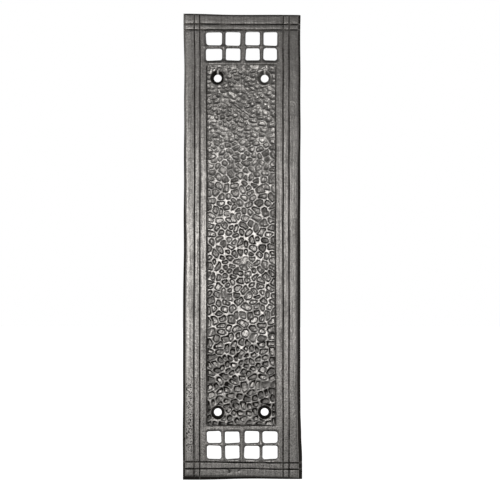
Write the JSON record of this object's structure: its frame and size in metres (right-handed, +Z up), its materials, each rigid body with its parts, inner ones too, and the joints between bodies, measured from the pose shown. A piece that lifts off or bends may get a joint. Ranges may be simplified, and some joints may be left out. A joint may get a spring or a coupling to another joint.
{
  "type": "door finger plate",
  "caption": "Flat upright cast-iron plate that keeps hands off a door, with a hammered panel, pierced windows at its ends, grooved borders and countersunk screw holes.",
  "frame": {"origin": "centre of the back face, which lies on the door", "axes": "+Z up the plate along its length, +X across its width, the back faces +Y and the front -Y"},
  "size_m": [0.0754, 0.0045, 0.3],
  "materials": {
    "antique_iron": "dark antique patina in the recesses, high spots rubbed to bare grey iron"
  },
  "bodies": {
    "root": {"finger_plate": "antique_iron"}
  },
  "joints": []
}
